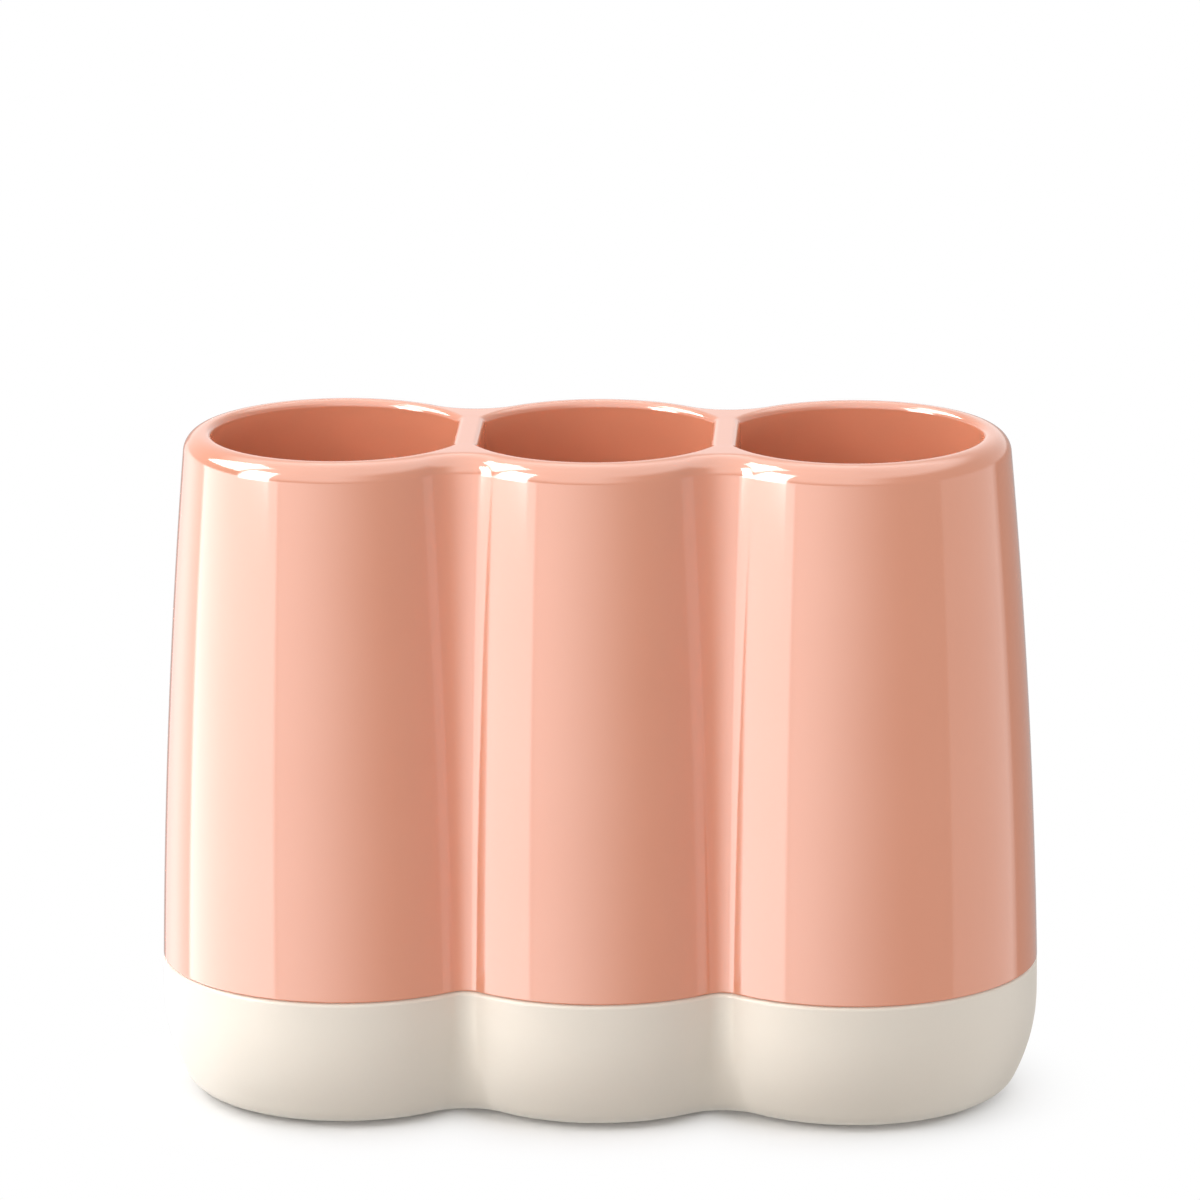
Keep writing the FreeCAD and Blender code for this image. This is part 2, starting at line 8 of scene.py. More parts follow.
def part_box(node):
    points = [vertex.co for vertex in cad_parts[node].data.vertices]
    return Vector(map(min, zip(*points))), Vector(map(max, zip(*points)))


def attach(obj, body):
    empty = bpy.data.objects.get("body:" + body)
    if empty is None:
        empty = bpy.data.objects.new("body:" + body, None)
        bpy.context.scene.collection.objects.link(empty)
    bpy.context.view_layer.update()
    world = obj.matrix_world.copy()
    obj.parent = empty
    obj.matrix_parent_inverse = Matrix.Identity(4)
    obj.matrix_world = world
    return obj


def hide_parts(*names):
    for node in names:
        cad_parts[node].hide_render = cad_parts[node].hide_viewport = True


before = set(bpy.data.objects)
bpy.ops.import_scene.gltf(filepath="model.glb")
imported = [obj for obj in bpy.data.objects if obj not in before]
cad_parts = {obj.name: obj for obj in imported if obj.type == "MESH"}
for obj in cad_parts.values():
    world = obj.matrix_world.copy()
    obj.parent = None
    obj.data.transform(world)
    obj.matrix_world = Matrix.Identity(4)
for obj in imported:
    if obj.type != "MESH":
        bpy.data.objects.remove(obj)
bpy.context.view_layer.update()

scene = bpy.context.scene
scene.view_settings.view_transform = "Standard"

mm = 0.001      # sizes below are in mm, angles in degrees
weld = 2e-6     # points closer than this are one point
sharpAngle = 32     # faces that meet at more than this keep a crisp edge

sleeveLow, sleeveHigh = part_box("upper_sleeve")
baseLow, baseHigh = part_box("base_cup")
sealLow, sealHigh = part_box("base_seal")
drainLow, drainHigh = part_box("drain_floor")

rimTop = sleeveHigh.z / mm
tubeEnd = sleeveLow.z / mm       # the tubes stand on the drain floor's plate
underside = baseLow.z / mm
print("frame loaded, rim at", round(rimTop, 2), "mm")

lobes = {
    "seamHeight": 21.7,     # where sleeve and base meet
    "seamRadius": 29.0,     # one lobe there
    "valleyRadius": 3.2,    # rounding between two lobes there too
    "arcStep": 2.4,         # degrees of a lobe per face
}
lobes["pitch"] = sleeveHigh.x / mm - lobes["seamRadius"]

compartment = {
    "radius": 20.0,
    "flat": 17.9,           # lobe centre to a divider's face
    "corner": 2.5,          # upright corner between flat and round
    "cornerStep": 4.0,
    "lip": 1.1,             # rounding at the mouth
    "lipSteps": 12,
    "tubeWall": 1.6,
}


# profile in the XZ plane: (x, z) goes straight on, (x, z, angle, steps) turns round a centre,
# clockwise as seen from the front
def drawProfile(bm, start, steps, y=0.0):
    tip = bm.verts.new((start[0] * mm, y * mm, start[1] * mm))
    for step in steps:
        if len(step) == 2:
            tip = bmesh.ops.extrude_vert_indiv(bm, verts=[tip])["verts"][0]
            tip.co = (step[0] * mm, y * mm, step[1] * mm)
        else:
            x, z, angle, count = step
            turned = bmesh.ops.spin(bm, geom=[tip], cent=(x * mm, y * mm, z * mm), axis=(0, 1, 0),
                                    angle=math.radians(angle), steps=count)
            tip = [item for item in turned["geom_last"] if isinstance(item, bmesh.types.BMVert)][0]


# path seen from above: (x, y, angle, step) turns round a centre, (x, y) runs straight on by that much
def sweepProfile(bm, path):
    geom = bm.verts[:] + bm.edges[:]
    for move in path:
        if len(move) > 2:
            x, y, angle = move[:3]
            count = math.ceil(abs(angle) / (move[3] if len(move) > 3 else lobes["arcStep"]))
            made = bmesh.ops.spin(bm, geom=geom, cent=(x * mm, y * mm, 0), axis=(0, 0, 1),
                                  angle=math.radians(angle), steps=count)
        else:
            made = bmesh.ops.spin(bm, geom=geom, axis=(0, 0, 1), dvec=(move[0] * mm, move[1] * mm, 0), steps=1)
        geom = made["geom_last"]
    bmesh.ops.remove_doubles(bm, verts=bm.verts, dist=weld)


# sweeps one profile and adds the shell to a piece, turned about the holder's middle axis
def addShell(target, start, steps, path, y=0.0, turn=0.0):
    part = bmesh.new()
    drawProfile(part, start, steps, y)
    sweepProfile(part, path)
    if turn:
        bmesh.ops.rotate(part, cent=(0, 0, 0), matrix=Matrix.Rotation(math.radians(turn), 3, "Z"), verts=part.verts)
    shell = bpy.data.meshes.new("shell")
    part.to_mesh(shell)
    part.free()
    target.from_mesh(shell)
    bpy.data.meshes.remove(shell)


# closes every open edge at one height with a flat face, holes left open
def fillLevel(bm, height):
    rim = [edge for edge in bm.edges
           if edge.is_boundary and all(abs(vert.co.z - height * mm) < weld for vert in edge.verts)]
    bmesh.ops.triangle_fill(bm, use_beauty=True, edges=rim, normal=(0, 0, 1))


# outline of three lobes, from the right end round the back
def lobedPath():
    pitch, half = lobes["pitch"], lobes["pitch"] / 2
    reach = lobes["seamRadius"] + lobes["valleyRadius"]     # lobe centre to valley centre
    rise = math.sqrt(reach ** 2 - half ** 2)
    turn = math.degrees(math.asin(half / reach))
    return [
        (pitch, 0, 90 + turn), (half, rise, -2 * turn), (0, 0, 2 * turn), (-half, rise, -2 * turn),
        (-pitch, 0, 180 + 2 * turn), (-half, -rise, -2 * turn), (0, 0, 2 * turn), (half, -rise, -2 * turn),
        (pitch, 0, 90 + turn),
    ]


# outline of one compartment: the right one from its outer end, the middle one from its right flat
def compartmentPath(middle):
    inset = compartment["flat"] - compartment["corner"]
    reach = compartment["radius"] - compartment["corner"]
    lean = math.degrees(math.acos(inset / reach))
    rise, step = reach * math.sin(math.radians(lean)), compartment["cornerStep"]
    if not middle:
        x = lobes["pitch"]
        return [(x, 0, 180 - lean), (x - inset, rise, lean, step), (0, -2 * rise), (x - inset, -rise, lean, step),
                (x, 0, 180 - lean)]
    return [(0, rise), (inset, rise, lean, step), (0, 0, 180 - 2 * lean), (-inset, rise, lean, step), (0, -2 * rise),
            (-inset, -rise, lean, step), (0, 0, 180 - 2 * lean), (inset, -rise, lean, step), (0, rise)]


# the same profile round all three compartments; steps are written from the compartment's wall
def addCompartmentShells(target, start, steps):
    for middle, turn in ((True, 0), (False, 0), (False, 180)):
        wall = compartment["flat"] if middle else lobes["pitch"] + compartment["radius"]
        moved = [(step[0] + wall, *step[1:]) for step in steps]
        addShell(target, (start[0] + wall, start[1]), moved, compartmentPath(middle), turn=turn)


# smooths the mesh and puts it in the place of its CAD node
def makePiece(bm, name, material, body, node):
    bmesh.ops.remove_doubles(bm, verts=bm.verts, dist=weld)
    bmesh.ops.recalc_face_normals(bm, faces=bm.faces)
    for face in bm.faces:
        face.smooth = True
    for edge in bm.edges:
        edge.smooth = edge.calc_face_angle(0) < math.radians(sharpAngle)
    mesh = bpy.data.meshes.new(name)
    openEdges = sum(1 for edge in bm.edges if not edge.is_manifold)
    bm.to_mesh(mesh)
    bm.free()
    mesh.materials.append(material)
    piece = bpy.data.objects.new(name, mesh)
    scene.collection.objects.link(piece)
    shade = piece.modifiers.new("evenShade", "WEIGHTED_NORMAL")
    shade.keep_sharp = True
    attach(piece, body)
    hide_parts(node)
    print(name, "made,", len(mesh.polygons), "faces,", openEdges, "open edges")


# moulded plastic or silicone: slow colour clouding, uneven gloss and a fine surface texture
def makeSurfaceGroup():
    group = bpy.data.node_groups.new("mouldedSurface", "ShaderNodeTree")
    inputs = (("Colour", "NodeSocketColor"), ("Cloud Colour", "NodeSocketColor"), ("Cloud Scale", "NodeSocketFloat"),
              ("Roughness Low", "NodeSocketFloat"), ("Roughness High", "NodeSocketFloat"),
              ("Texture Scale", "NodeSocketFloat"))
    for label, kind in inputs:
        group.interface.new_socket(label, in_out="INPUT", socket_type=kind)
    outputs = (("Colour", "NodeSocketColor"), ("Roughness", "NodeSocketFloat"), ("Height", "NodeSocketFloat"))
    for label, kind in outputs:
        group.interface.new_socket(label, in_out="OUTPUT", socket_type=kind)
    nodes, links = group.nodes, group.links
    source, result = nodes.new("NodeGroupInput"), nodes.new("NodeGroupOutput")
    place = nodes.new("ShaderNodeTexCoord").outputs["Object"]

    cloud = nodes.new("ShaderNodeTexNoise")
    cloud.inputs["Detail"].default_value = 3.0
    links.new(place, cloud.inputs["Vector"])
    links.new(source.outputs["Cloud Scale"], cloud.inputs["Scale"])
    blend = nodes.new("ShaderNodeMix")
    blend.data_type = "RGBA"
    links.new(cloud.outputs["Fac"], blend.inputs["Factor"])
    links.new(source.outputs["Colour"], blend.inputs[6])            # A and B of the colour sockets
    links.new(source.outputs["Cloud Colour"], blend.inputs[7])
    links.new(blend.outputs[2], result.inputs["Colour"])

    gloss = nodes.new("ShaderNodeMapRange")
    links.new(cloud.outputs["Fac"], gloss.inputs["Value"])
    links.new(source.outputs["Roughness Low"], gloss.inputs["To Min"])
    links.new(source.outputs["Roughness High"], gloss.inputs["To Max"])
    links.new(gloss.outputs["Result"], result.inputs["Roughness"])

    texture = nodes.new("ShaderNodeTexNoise")
    texture.inputs["Detail"].default_value = 2.0
    links.new(place, texture.inputs["Vector"])
    links.new(source.outputs["Texture Scale"], texture.inputs["Scale"])
    links.new(texture.outputs["Fac"], result.inputs["Height"])
    return group


surfaceGroup = makeSurfaceGroup()


def makeMaterial(name, finish):
    material = bpy.data.materials.new(name)
    material.use_nodes = True
    nodes, links = material.node_tree.nodes, material.node_tree.links
    shader = nodes["Principled BSDF"]
    for socket, value in finish["shader"].items():
        shader.inputs[socket].default_value = value
    surface = nodes.new("ShaderNodeGroup")
    surface.node_tree = surfaceGroup
    for socket, value in finish["surface"].items():
        surface.inputs[socket].default_value = (*value, 1) if isinstance(value, tuple) else value
    bump = nodes.new("ShaderNodeBump")
    bump.inputs["Strength"].default_value = finish["bumpStrength"]
    bump.inputs["Distance"].default_value = finish["bumpDepth"] * mm
    links.new(surface.outputs["Colour"], shader.inputs["Base Color"])
    links.new(surface.outputs["Roughness"], shader.inputs["Roughness"])
    links.new(surface.outputs["Height"], bump.inputs["Height"])
    links.new(bump.outputs["Normal"], shader.inputs["Normal"])
    return material


sleeveGloss = makeMaterial("sleeveGloss", {
    "shader": {"IOR": 1.5},
    "surface": {"Colour": (0.69, 0.278, 0.166), "Cloud Colour": (0.66, 0.256, 0.148), "Cloud Scale": 45.0,
                "Roughness Low": 0.06, "Roughness High": 0.1, "Texture Scale": 300.0},
    "bumpStrength": 0.2, "bumpDepth": 0.002,
})
baseSatin = makeMaterial("baseSatin", {
    "shader": {"IOR": 1.4},
    "surface": {"Colour": (0.695, 0.638, 0.562), "Cloud Colour": (0.675, 0.612, 0.528), "Cloud Scale": 55.0,
                "Roughness Low": 0.42, "Roughness High": 0.48, "Texture Scale": 2600.0},
    "bumpStrength": 0.35, "bumpDepth": 0.012,
})
sealSilicone = makeMaterial("sealSilicone", {
    "shader": {"IOR": 1.42},
    "surface": {"Colour": (0.52, 0.50, 0.47), "Cloud Colour": (0.47, 0.45, 0.42), "Cloud Scale": 120.0,
                "Roughness Low": 0.5, "Roughness High": 0.62, "Texture Scale": 1800.0},
    "bumpStrength": 0.4, "bumpDepth": 0.02,
})
footSilicone = makeMaterial("footSilicone", {
    "shader": {"IOR": 1.42},
    "surface": {"Colour": (0.50, 0.48, 0.45), "Cloud Colour": (0.44, 0.42, 0.39), "Cloud Scale": 180.0,
                "Roughness Low": 0.5, "Roughness High": 0.65, "Texture Scale": 1500.0},
    "bumpStrength": 0.5, "bumpDepth": 0.03,
})
drainPlastic = makeMaterial("drainPlastic", {
    "shader": {"IOR": 1.48},
    "surface": {"Colour": (0.66, 0.26, 0.15), "Cloud Colour": (0.63, 0.243, 0.138), "Cloud Scale": 90.0,
                "Roughness Low": 0.38, "Roughness High": 0.46, "Texture Scale": 2200.0},
    "bumpStrength": 0.35, "bumpDepth": 0.012,
})
print("materials made")


sleeve = {
    "edge": 0.35,           # rounding of its lower edge
    "edgeSteps": 5,
    "bow": 1200.0,          # slow curve of the wall from seam to rim
    "wallSteps": 16,
    "crest": 21.3,          # lobe radius at the top of the rim
    "rim": 3.2,             # outer rounding of the rim
    "rimSteps": 24,
    "skin": 2.4,            # thickness of the outer wall
    "skinSteps": 8,         # faces up its inner side
    "socketTop": 31.2,      # the base's spigot goes in up to here
    "ceiling": 97.2,        # underside of the solid rim
}


# centre of the wall's bow: through the wall's foot, touching the rim's rounding from outside
def bowCentre(foot, rim):
    away = rim - foot
    inner = sleeve["bow"] - sleeve["rim"]
    along = (sleeve["bow"] ** 2 - inner ** 2 + away.length_squared) / (2 * away.length)
    ahead = away.normalized()
    return foot + ahead * along + Vector((-ahead.y, ahead.x)) * math.sqrt(sleeve["bow"] ** 2 - along ** 2)


def makeSleeve():
    pitch, seam, edge = lobes["pitch"], lobes["seamHeight"], sleeve["edge"]
    outer = pitch + lobes["seamRadius"]
    socket = outer - sleeve["skin"]
    rim = Vector((pitch + sleeve["crest"], rimTop - sleeve["rim"]))
    bow = bowCentre(Vector((outer, seam + edge)), rim)
    topLean = math.degrees(math.atan2(rim.y - bow.y, rim.x - bow.x))
    footLean = math.degrees(math.asin((seam + edge - bow.y) / sleeve["bow"]))
    inside = sleeve["bow"] - sleeve["skin"]
    lowLean = math.asin((sleeve["socketTop"] - bow.y) / inside)
    highLean = math.asin((sleeve["ceiling"] - bow.y) / inside)

    bm = bmesh.new()
    addShell(bm, (rim.x, rimTop), [
        (rim.x, rim.y, 90 - topLean, sleeve["rimSteps"]),
        (bow.x, bow.y, topLean - footLean, sleeve["wallSteps"]),
        (outer - edge, seam + edge, 90, sleeve["edgeSteps"]),
        (socket, seam), (socket, sleeve["socketTop"]),
        (bow.x + inside * math.cos(lowLean), sleeve["socketTop"]),
        (bow.x, bow.y, math.degrees(lowLean - highLean), sleeve["skinSteps"]),
    ], lobedPath())
    lip, tube = compartment["lip"], compartment["tubeWall"]
    addCompartmentShells(bm, (lip, rimTop), [
        (lip, rimTop - lip, -90, compartment["lipSteps"]),
        (0, tubeEnd), (tube, tubeEnd), (tube, sleeve["ceiling"]),
    ])
    fillLevel(bm, rimTop)
    fillLevel(bm, sleeve["ceiling"])
    makePiece(bm, "sleeveShell", sleeveGloss, "sleeve", "upper_sleeve")


base = {
    "corner": 4.5,          # quick part of the lower rounding
    "cornerSteps": 14,
    "side": 30.0,           # slow part of it
    "sideSteps": 12,
    "sideTop": 16.5,        # where the side turns upright
    "shoulder": 0.8,        # rounding at the seam
    "shoulderSteps": 10,
    "inner": 14.35,         # lobe radius of the relief below and the sump above
    "relief": 0.4,
    "sump": 0.5,
    "spigot": 26.35,        # lobe radius of the part inside the sleeve
    "lead": 0.6,            # chamfer at its top
    "groove": 25.1,         # lobe radius behind the seal
    "grooveGap": 0.1,       # groove above the seal
    "well": 24.35,          # lobe radius of the drip well
    "wellEdge": 5.0,        # rounding along its floor
    "wellSteps": 12,
    "wellFloor": 3.5,
}
foot = {
    "gap": 0.1,             # room round a foot in its recess
    "edge": 0.3,
    "edgeSteps": 6,
    "segments": 64,
}
footNames = ("foot_front_left", "foot_front_right", "foot_back_left", "foot_back_right")


# four recesses for the feet in the underside
def cutRecesses(bm):
    block = bpy.data.meshes.new("baseBlock")
    bm.to_mesh(block)
    bm.free()
    body = bpy.data.objects.new("baseBlock", block)
    cutters = bmesh.new()
    for name in footNames:
        low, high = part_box(name)
        depth = 2 * (high.z - low.z)
        middle = Vector(((low.x + high.x) / 2, (low.y + high.y) / 2, high.z - depth / 2))
        radius = (high.x - low.x) / 2 + foot["gap"] * mm
        bmesh.ops.create_cone(cutters, cap_ends=True, segments=foot["segments"], radius1=radius, radius2=radius,
                              depth=depth, matrix=Matrix.Translation(middle))
    tool = bpy.data.meshes.new("recessCutters")
    cutters.to_mesh(tool)
    cutters.free()
    knife = bpy.data.objects.new("recessCutters", tool)
    for item in (body, knife):
        scene.collection.objects.link(item)
    cut = body.modifiers.new("recesses", "BOOLEAN")
    cut.operation, cut.solver, cut.object = "DIFFERENCE", "EXACT", knife
    shaped = bpy.data.meshes.new_from_object(body.evaluated_get(bpy.context.evaluated_depsgraph_get()))
    made = bmesh.new()
    made.from_mesh(shaped)
    for item in (body, knife):
        bpy.data.objects.remove(item)
    for mesh in (block, tool, shaped):
        bpy.data.meshes.remove(mesh)
    return made


def makeBase():
    pitch = lobes["pitch"]
    outer = pitch + lobes["seamRadius"]
    inner, spigot, groove, well = [pitch + base[name] for name in ("inner", "spigot", "groove", "well")]
    sideX, cornerZ = outer - base["side"], underside + base["corner"]
    drop = base["sideTop"] - cornerZ
    cornerX = sideX + math.sqrt((base["side"] - base["corner"]) ** 2 - drop ** 2)
    lean = math.degrees(math.atan2(drop, cornerX - sideX))
    seam, shoulder, edge, lead = lobes["seamHeight"], base["shoulder"], base["wellEdge"], base["lead"]
    grooveLow, grooveHigh = sealLow.z / mm, sealHigh.z / mm + base["grooveGap"]
    spigotTop = baseHigh.z / mm

    bm = bmesh.new()
    addShell(bm, (inner, underside + base["relief"]), [
        (inner, underside), (cornerX, underside),
        (cornerX, cornerZ, lean - 90, base["cornerSteps"]), (sideX, base["sideTop"], -lean, base["sideSteps"]),
        (outer, seam - shoulder), (outer - shoulder, seam - shoulder, -90, base["shoulderSteps"]),
        (spigot, seam), (spigot, grooveLow), (groove, grooveLow), (groove, grooveHigh), (spigot, grooveHigh),
        (spigot, spigotTop - lead), (spigot - lead, spigotTop), (well, spigotTop), (well, base["wellFloor"] + edge),
        (well - edge, base["wellFloor"] + edge, 90, base["wellSteps"]),
        (inner, base["wellFloor"]), (inner, base["wellFloor"] - base["sump"]),
    ], lobedPath())
    fillLevel(bm, underside + base["relief"])
    fillLevel(bm, base["wellFloor"] - base["sump"])
    bmesh.ops.recalc_face_normals(bm, faces=bm.faces)
    bm = cutRecesses(bm)
    makePiece(bm, "baseCup", baseSatin, "base", "base_cup")


def makeFoot(node):
    low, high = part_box(node)
    radius, height, edge = (high.x - low.x) / 2 / mm, high.z / mm, foot["edge"]
    bm = bmesh.new()
    drawProfile(bm, (0, 0), [
        (radius - edge, 0), (radius - edge, edge, -90, foot["edgeSteps"]), (radius, height), (0, height),
    ])
    bmesh.ops.spin(bm, geom=bm.verts[:] + bm.edges[:], cent=(0, 0, 0), axis=(0, 0, 1), angle=math.tau,
                   steps=foot["segments"], use_merge=True)
    bmesh.ops.translate(bm, vec=((low.x + high.x) / 2, (low.y + high.y) / 2, 0), verts=bm.verts)
    name = "footPad" + node.replace("foot", "").title().replace("_", "")
    makePiece(bm, name, footSilicone, "base", node)


seal = {
    "inner": 25.2,          # lobe radii
    "outer": 26.5,
    "edge": 0.4,            # rounding of its four edges
    "edgeSteps": 6,
}


def makeSeal():
    edge, count = seal["edge"], seal["edgeSteps"]
    inner, outer = lobes["pitch"] + seal["inner"], lobes["pitch"] + seal["outer"]
    low, high = sealLow.z / mm, sealHigh.z / mm
    bm = bmesh.new()
    addShell(bm, (outer, low + edge), [
        (outer, high - edge), (outer - edge, high - edge, -90, count),
        (inner + edge, high), (inner + edge, high - edge, -90, count),
        (inner, low + edge), (inner + edge, low + edge, -90, count),
        (outer - edge, low), (outer - edge, low + edge, -90, count),
    ], lobedPath())
    makePiece(bm, "sealRing", sealSilicone, "base", "base_seal")


drain = {
    "edge": 0.25,           # small rounding of the plate and the slots
    "edgeSteps": 4,
    "plate": 21.6,          # lobe radius
    "plugGap": 0.15,        # plug to tube
    "plugLead": 0.5,        # chamfer that leads a plug into its tube
    "slotLength": 22.0,
    "slotWidth": 3.0,
    "slotStep": 7.5,        # from one slot to the next
    "slotTurn": 7.5,        # degrees of a slot's end per face
}


def makeDrainFloor():
    edge, count = drain["edge"], drain["edgeSteps"]
    low, top, plateTop = drainLow.z / mm, drainHigh.z / mm, tubeEnd
    rim = lobes["pitch"] + drain["plate"]
    bm = bmesh.new()
    addShell(bm, (rim - edge, low), [
        (rim - edge, low + edge, -90, count), (rim, plateTop - edge), (rim - edge, plateTop - edge, -90, count),
    ], lobedPath())
    gap, lead = drain["plugGap"], drain["plugLead"]
    addCompartmentShells(bm, (-gap, plateTop), [(-gap, top - lead), (-gap - lead, top)])
    end, run, turn = drain["slotWidth"] / 2, (drain["slotLength"] - drain["slotWidth"]) / 2, drain["slotTurn"]
    for place in (-lobes["pitch"], 0, lobes["pitch"]):
        for row in (-1, 0, 1):
            y, right, left = row * drain["slotStep"], place + run, place - run
            wall = right + end
            addShell(bm, (wall + edge, top), [
                (wall + edge, top - edge, -90, count), (wall, low + edge), (wall + edge, low + edge, -90, count),
            ], [(right, y, 90, turn), (-2 * run, 0), (left, y, 180, turn), (2 * run, 0), (right, y, 90, turn)], y=y)
    for height in (low, plateTop, top):
        fillLevel(bm, height)
    makePiece(bm, "drainFloor", drainPlastic, "drain_floor", "drain_floor")


makeSleeve()
makeBase()
makeSeal()
makeDrainFloor()
for footName in footNames:
    makeFoot(footName)


studio = {
    "floorSize": 6.0,       # metres
    "floorGrey": 0.48,      # what the holder gets back from the floor
    "floorWhite": 0.85,     # what the eye sees
    "shadowEdge": 22.5,     # mm from a lobe's centre, up to there the eye sees all of the shadow
    "shadowReach": 23.0,    # mm over which a painted white glow then covers the shadow
    "shadowFade": 3.5,      # higher lets the painted glow cover the shadow sooner
    "shadowShift": (-2.0, -2.0),        # mm to the left and to the front; moves where the painted glow starts
    "shadowBlend": 6.0,     # mm, rounds it between two lobes
    "ambient": 0.5,         # soft light from all round
    "room": 1.5,            # what the gloss sees between the reflectors
    "lampAim": 60.0,        # mm over the floor
}


def wire(tree, socket, value):
    if isinstance(value, bpy.types.NodeSocket):
        tree.links.new(value, socket)
    else:
        socket.default_value = value


def mathNode(tree, operation, *values):
    node = tree.nodes.new("ShaderNodeMath")
    node.operation = operation
    for socket, value in zip(node.inputs, values):
        wire(tree, socket, value)
    return node.outputs[0]


def mixNode(tree, factor, first, second):
    node = tree.nodes.new("ShaderNodeMix")      # sockets 2 and 3 are A and B for plain values
    for socket, value in zip((node.inputs[0], node.inputs[2], node.inputs[3]), (factor, first, second)):
        wire(tree, socket, value)
    return node.outputs[0]


def fadeNode(tree, value, low, high):
    node = tree.nodes.new("ShaderNodeMapRange")
    node.interpolation_type = "SMOOTHSTEP"
    for name, item in (("Value", value), ("From Min", low), ("From Max", high)):
        wire(tree, node.inputs[name], item)
    return node.outputs["Result"]


# how far a point of the floor is from the nearest lobe's centre, a little shifted
def lobeDistance(tree, place):
    nearest, shift = 1.0, studio["shadowShift"]
    for centre in (-lobes["pitch"], 0, lobes["pitch"]):
        away = tree.nodes.new("ShaderNodeVectorMath")
        away.operation = "DISTANCE"
        tree.links.new(place, away.inputs[0])
        away.inputs[1].default_value = ((centre + shift[0]) * mm, shift[1] * mm, 0)
        nearest = mathNode(tree, "SMOOTH_MIN", nearest, away.outputs["Value"], studio["shadowBlend"] * mm)
    return nearest


# white paper: plain matt near the holder, where its real shadow shows, then a painted white glow, seen by the eye and
# through glass, that covers the shadow further out
def makeFloor():
    bm = bmesh.new()
    bmesh.ops.create_grid(bm, x_segments=1, y_segments=1, size=studio["floorSize"] / 2)
    mesh = bpy.data.meshes.new("paperFloor")
    bm.to_mesh(mesh)
    bm.free()
    floor = bpy.data.objects.new("paperFloor", mesh)
    scene.collection.objects.link(floor)
    floor.visible_glossy = False        # the gloss sees the reflectors instead
    material = bpy.data.materials.new("whitePaper")
    material.use_nodes = True
    tree = material.node_tree
    nodes, links = tree.nodes, tree.links
    nodes.clear()
    matt, white = nodes.new("ShaderNodeBsdfDiffuse"), nodes.new("ShaderNodeEmission")
    blend, result = nodes.new("ShaderNodeMixShader"), nodes.new("ShaderNodeOutputMaterial")
    rays, place = nodes.new("ShaderNodeLightPath"), nodes.new("ShaderNodeTexCoord").outputs["Object"]
    # painted glow: emission white that hides the holder's shadow beyond shadowEdge, fading in over shadowReach
    outside = mathNode(tree, "SUBTRACT", lobeDistance(tree, place), studio["shadowEdge"] * mm)
    share = mathNode(tree, "DIVIDE", outside, studio["shadowReach"] * mm)
    rest = mathNode(tree, "MINIMUM", mathNode(tree, "MAXIMUM", mathNode(tree, "SUBTRACT", 1.0, share), 0.0), 1.0)
    paintedGlowShare = mathNode(tree, "SUBTRACT", 1.0, mathNode(tree, "POWER", rest, studio["shadowFade"]))
    seen = mathNode(tree, "MAXIMUM", rays.outputs["Is Camera Ray"], rays.outputs["Is Transmission Ray"])
    links.new(mathNode(tree, "MULTIPLY", paintedGlowShare, seen), blend.inputs["Fac"])
    links.new(mixNode(tree, seen, studio["floorGrey"], studio["floorWhite"]), matt.inputs["Color"])
    links.new(matt.outputs[0], blend.inputs[1])
    links.new(white.outputs[0], blend.inputs[2])
    links.new(blend.outputs[0], result.inputs["Surface"])
    mesh.materials.append(material)


# what the gloss sees of the studio, later ones in front of earlier ones: degrees round the holder, where 0 is the front
# and the right is positive, degrees over the horizon, and degrees that the left, the right and both ends are softened
reflectors = {
    "flag": {"from": 125, "to": 202, "low": -42, "high": 3, "soft": (2, 2, 3), "strength": 0.5},
    "rear": {"from": -142, "to": -113, "low": -42, "high": 3, "soft": (14, 2, 3), "strength": 3.6},
    "left": {"from": -113, "to": -41, "low": -42, "high": 3, "soft": (2, 2, 3), "strength": 9.2},
    "front": {"from": -41, "to": 0, "low": -42, "high": 3, "soft": (2, 40, 3), "strength": 6.3},
    "right": {"from": 66, "to": 121, "low": -42, "high": 3, "soft": (1, 2, 3), "strength": 2.3},
    "ceiling": {"from": -190, "to": 190, "low": 45, "high": 120, "soft": (1, 1, 10), "strength": 5.0},
    "top": {"from": -77, "to": 20, "low": 12, "high": 120, "soft": (2, 25, 9), "strength": 5.5},
    "edge": {"from": -118, "to": -78, "low": 22, "high": 60, "soft": (0.7, 0.7, 0.6), "strength": 20.0},
    "key": {"from": -75, "to": -49, "low": -4.4, "high": 42, "soft": (0.7, 0.7, 0.6), "strength": 28.0},
}


# 1 on a reflector, 0 beside it; the second turn is for one that runs on behind the holder
def reflectorMask(tree, turn, rise, card):
    left, right, ends = card["soft"]
    tall = mathNode(tree, "MULTIPLY", fadeNode(tree, rise, card["low"] - ends, card["low"] + ends),
                    fadeNode(tree, rise, card["high"] + ends, card["high"] - ends))
    wide = 0.0
    for whole in (0, 360):
        start, stop = card["from"] - whole, card["to"] - whole
        part = mathNode(tree, "MULTIPLY", fadeNode(tree, turn, start - left, start + left),
                        fadeNode(tree, turn, stop + right, stop - right))
        wide = mathNode(tree, "ADD", wide, part)
    return mathNode(tree, "MULTIPLY", wide, tall)


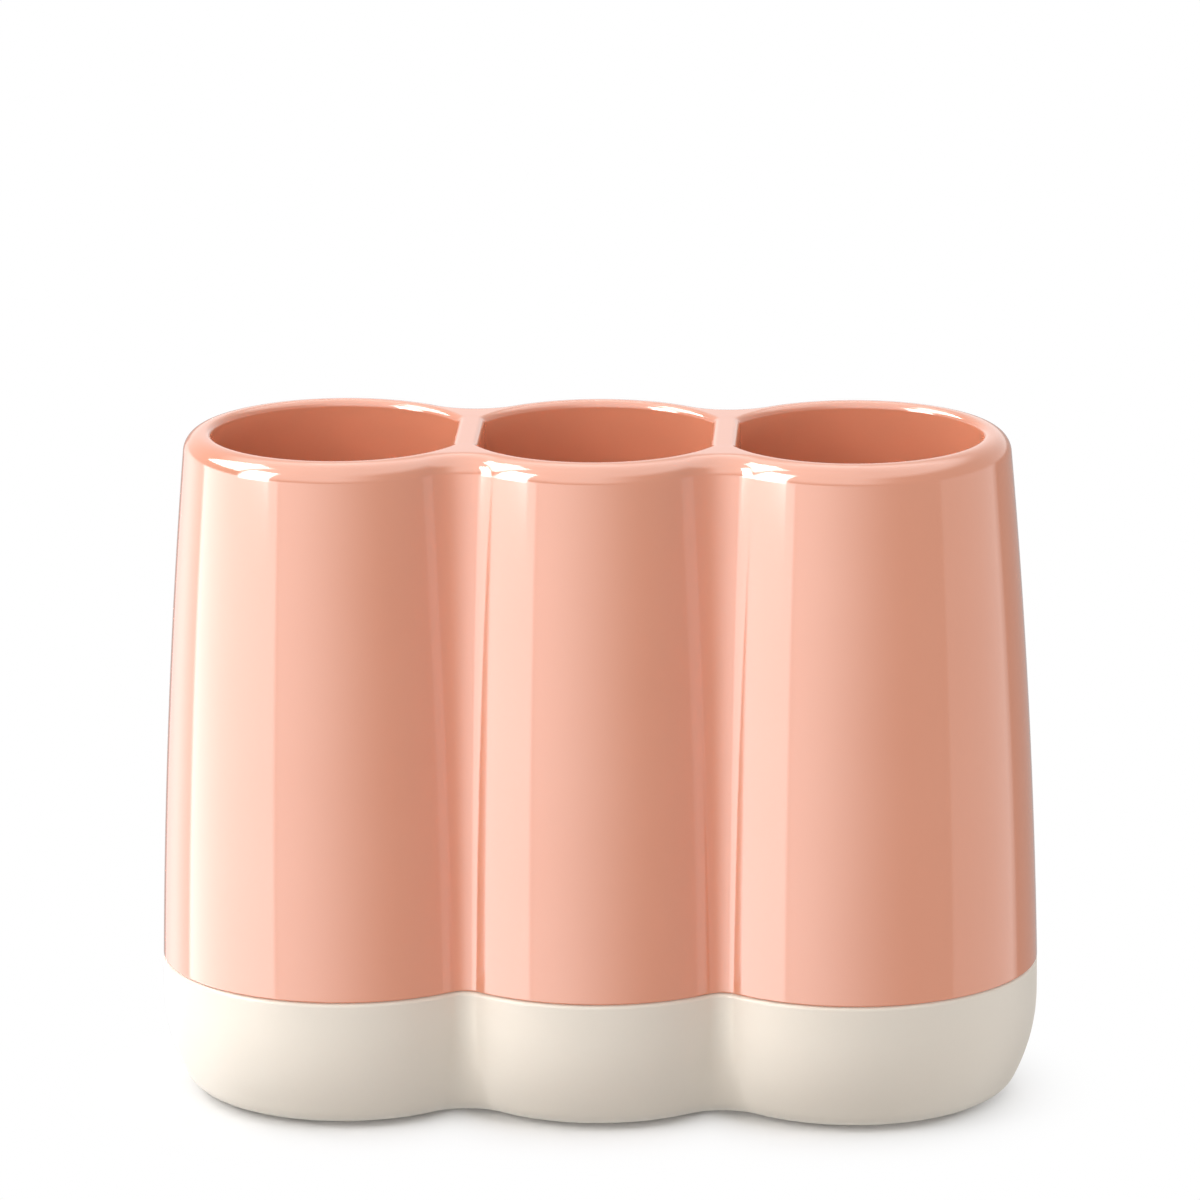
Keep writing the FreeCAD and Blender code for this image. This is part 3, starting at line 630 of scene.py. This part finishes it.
def makeWorld():
    world = bpy.data.worlds.new("studioWorld")
    world.use_nodes = True
    world.cycles.sampling_method = "NONE"       # soft light is even all round, so it needs no map
    scene.world = world
    tree = world.node_tree
    way = tree.nodes.new("ShaderNodeSeparateXYZ")
    tree.links.new(tree.nodes.new("ShaderNodeTexCoord").outputs["Generated"], way.inputs[0])
    side = mathNode(tree, "ARCTAN2", way.outputs["X"], mathNode(tree, "MULTIPLY", way.outputs["Y"], -1.0))
    turn = mathNode(tree, "DEGREES", side)
    rise = mathNode(tree, "DEGREES", mathNode(tree, "ARCSINE", way.outputs["Z"]))
    gloss = studio["room"]
    for card in reflectors.values():
        gloss = mixNode(tree, reflectorMask(tree, turn, rise, card), gloss, card["strength"])
    rays = tree.nodes.new("ShaderNodeLightPath")
    light = mixNode(tree, rays.outputs["Is Glossy Ray"], studio["ambient"], gloss)
    back = tree.nodes["Background"]
    back.inputs["Color"].default_value = (1, 1, 1, 1)
    tree.links.new(mixNode(tree, rays.outputs["Is Camera Ray"], light, 1.0), back.inputs["Strength"])


# unit vector away from the holder
def outward(turn, rise):
    turn, rise = math.radians(turn), math.radians(rise)
    return Vector((math.sin(turn) * math.cos(rise), -math.cos(turn) * math.cos(rise), math.sin(rise)))


# turn and rise in degrees round the holder, away, wide and tall in metres
softboxes = {
    "key": {"turn": -65, "rise": 34, "away": 1.2, "wide": 0.6, "tall": 0.6, "strength": 4.9},
    "edge": {"turn": -120, "rise": 36, "away": 1.2, "wide": 0.6, "tall": 0.6, "strength": 5.6},
    "fill": {"turn": -8, "rise": 14, "away": 1.6, "wide": 1.2, "tall": 0.9, "strength": 2.65},
    "side": {"turn": 92, "rise": 2, "away": 1.6, "wide": 0.5, "tall": 0.4, "strength": 14.0},
    "back": {"turn": 165, "rise": 38, "away": 1.4, "wide": 0.8, "tall": 0.6, "strength": 2.6},
}


def makeSoftboxes():
    aim = Vector((0, 0, studio["lampAim"] * mm))
    for name, box in softboxes.items():
        back = outward(box["turn"], box["rise"])
        lamp = bpy.data.lights.new(name + "Softbox", "AREA")
        lamp.shape, lamp.size, lamp.size_y = "RECTANGLE", box["wide"], box["tall"]
        lamp.energy = math.pi * box["wide"] * box["tall"] * box["strength"]
        holder = bpy.data.objects.new(name + "Softbox", lamp)
        holder.location = aim + back * box["away"]
        holder.rotation_mode = "QUATERNION"
        holder.rotation_quaternion = (-back).to_track_quat("-Z", "Y")
        holder.visible_camera = holder.visible_glossy = False
        scene.collection.objects.link(holder)


view = {
    "turn": 2.6,
    "rise": 14.55,
    "roll": -0.35,
    "away": 1.3,            # metres
    "aim": (0.36, 0.0, 79.01),
    "lens": 249.5,
    "sensor": 36.0,
}


def makeCamera():
    back = outward(view["turn"], view["rise"])
    lens = bpy.data.cameras.new("photoView")
    lens.lens, lens.sensor_width = view["lens"], view["sensor"]
    camera = bpy.data.objects.new("photoView", lens)
    camera.location = Vector(view["aim"]) * mm + back * view["away"]
    camera.rotation_mode = "QUATERNION"
    camera.rotation_quaternion = (-back).to_track_quat("-Z", "Y") @ Quaternion((0, 0, 1), math.radians(view["roll"]))
    scene.collection.objects.link(camera)
    scene.camera = camera


makeFloor()
makeWorld()
makeSoftboxes()
makeCamera()
print("floor, lights and camera set")
